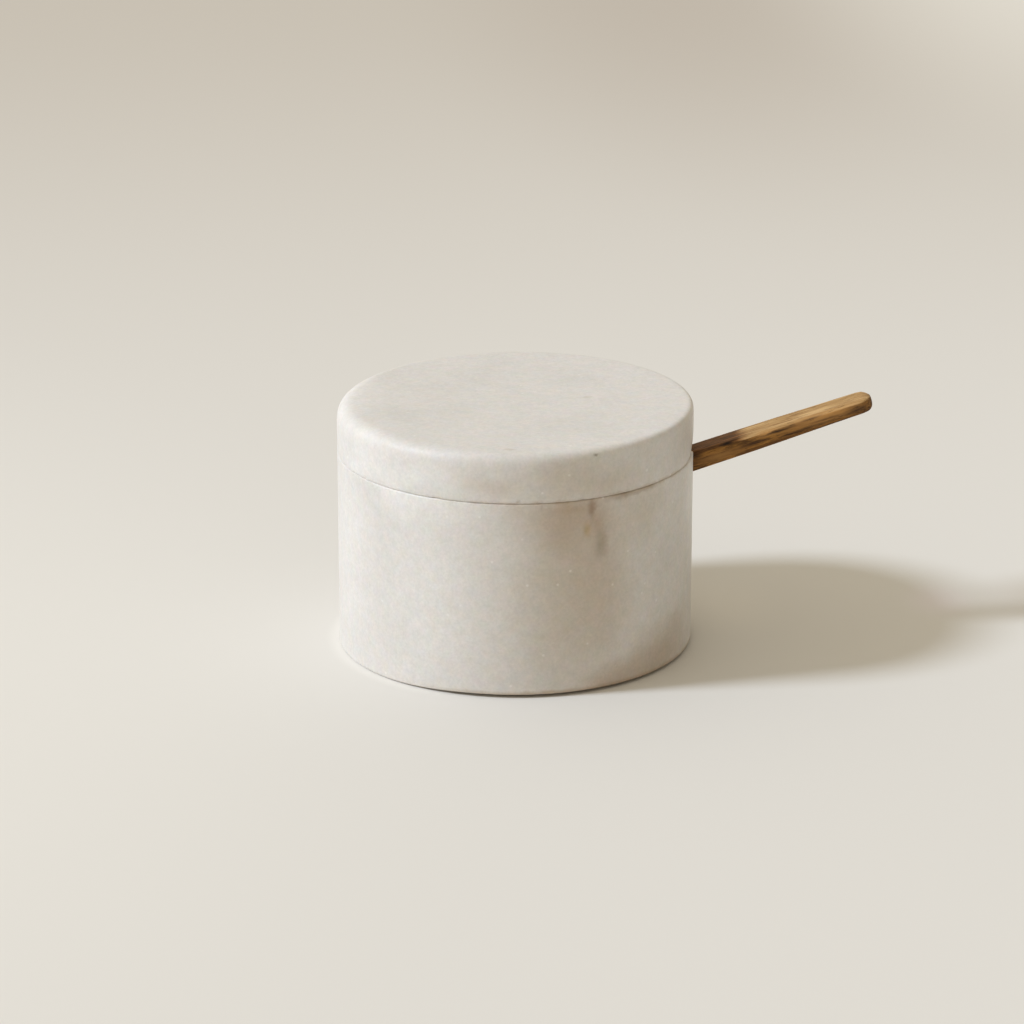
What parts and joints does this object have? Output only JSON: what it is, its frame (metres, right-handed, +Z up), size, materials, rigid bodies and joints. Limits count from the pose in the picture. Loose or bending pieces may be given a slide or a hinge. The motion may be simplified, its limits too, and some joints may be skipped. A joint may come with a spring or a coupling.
{
  "type": "salt cellar",
  "caption": "Round marble pot with a flat marble lid, a notch through the rim and a wooden scoop whose flat handle rises out through the notch.",
  "frame": {"origin": "centre of the felt pad's underside, on the surface that the salt cellar stands on and on the pot's axis", "axes": "+Z up the pot's axis, +X out along the spoon's handle; XZ is the mirror plane"},
  "size_m": [0.1507, 0.1, 0.07],
  "materials": {
    "pot_marble": "honed white marble with soft grey and beige clouds",
    "lid_marble": "honed white marble with soft grey and beige clouds",
    "spoon_wood": "oiled, satin, fine straight grain",
    "pad_felt": "pressed felt"
  },
  "bodies": {
    "bowl": {"bowl": "pot_marble", "base_pad": "pad_felt"},
    "spoon": {"spoon": "spoon_wood"},
    "lid": {"lid": "lid_marble"}
  },
  "joints": [
    {"name": "spoon_lift", "type": "slide", "parent": "bowl", "child": "spoon", "axis": [0, 0, 1], "range_m": [0, 0.06]},
    {"name": "lid_lift", "type": "slide", "parent": "spoon", "child": "lid", "axis": [0, 0, 1], "range_m": [0, 0.06]}
  ]
}
